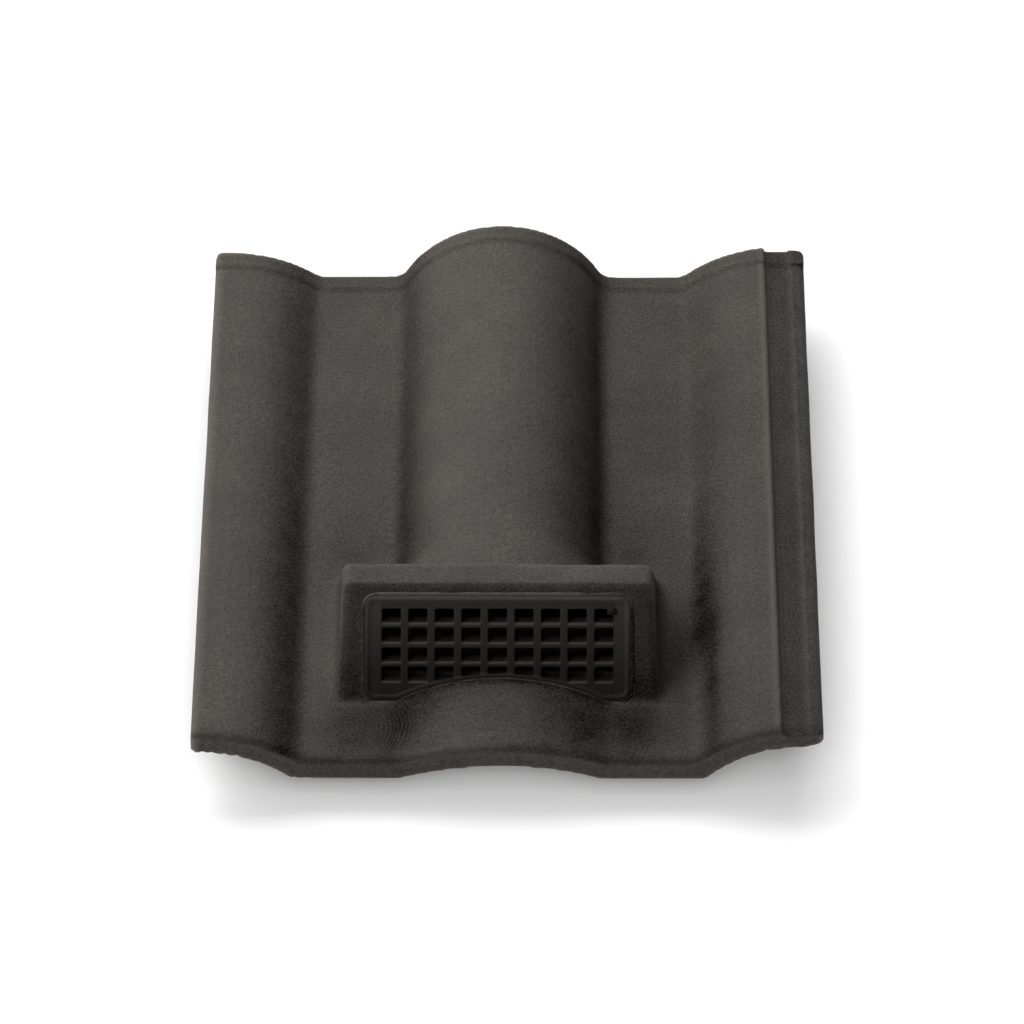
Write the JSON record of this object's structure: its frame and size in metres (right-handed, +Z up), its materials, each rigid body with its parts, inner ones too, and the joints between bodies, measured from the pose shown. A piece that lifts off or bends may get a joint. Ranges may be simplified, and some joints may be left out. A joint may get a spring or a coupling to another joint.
{
  "type": "roof tile vent",
  "caption": "Profiled concrete interlocking roof tile with a tall centre roll, a cast vent hood and a leaning dark grille with rows of small square-cut holes.",
  "frame": {"origin": "under the middle of the tile, at the level of the nibs' feet", "axes": "+X across the tile towards the side lap, +Y from the tail edge to the head edge, +Z up out of the weathered face"},
  "size_m": [0.33, 0.42, 0.0725],
  "materials": {
    "concrete": "matte, fine sanded grain",
    "grille_plastic": "matte moulded"
  },
  "bodies": {
    "root": {"tile_body": "concrete", "vent_grille": "grille_plastic"}
  },
  "joints": []
}
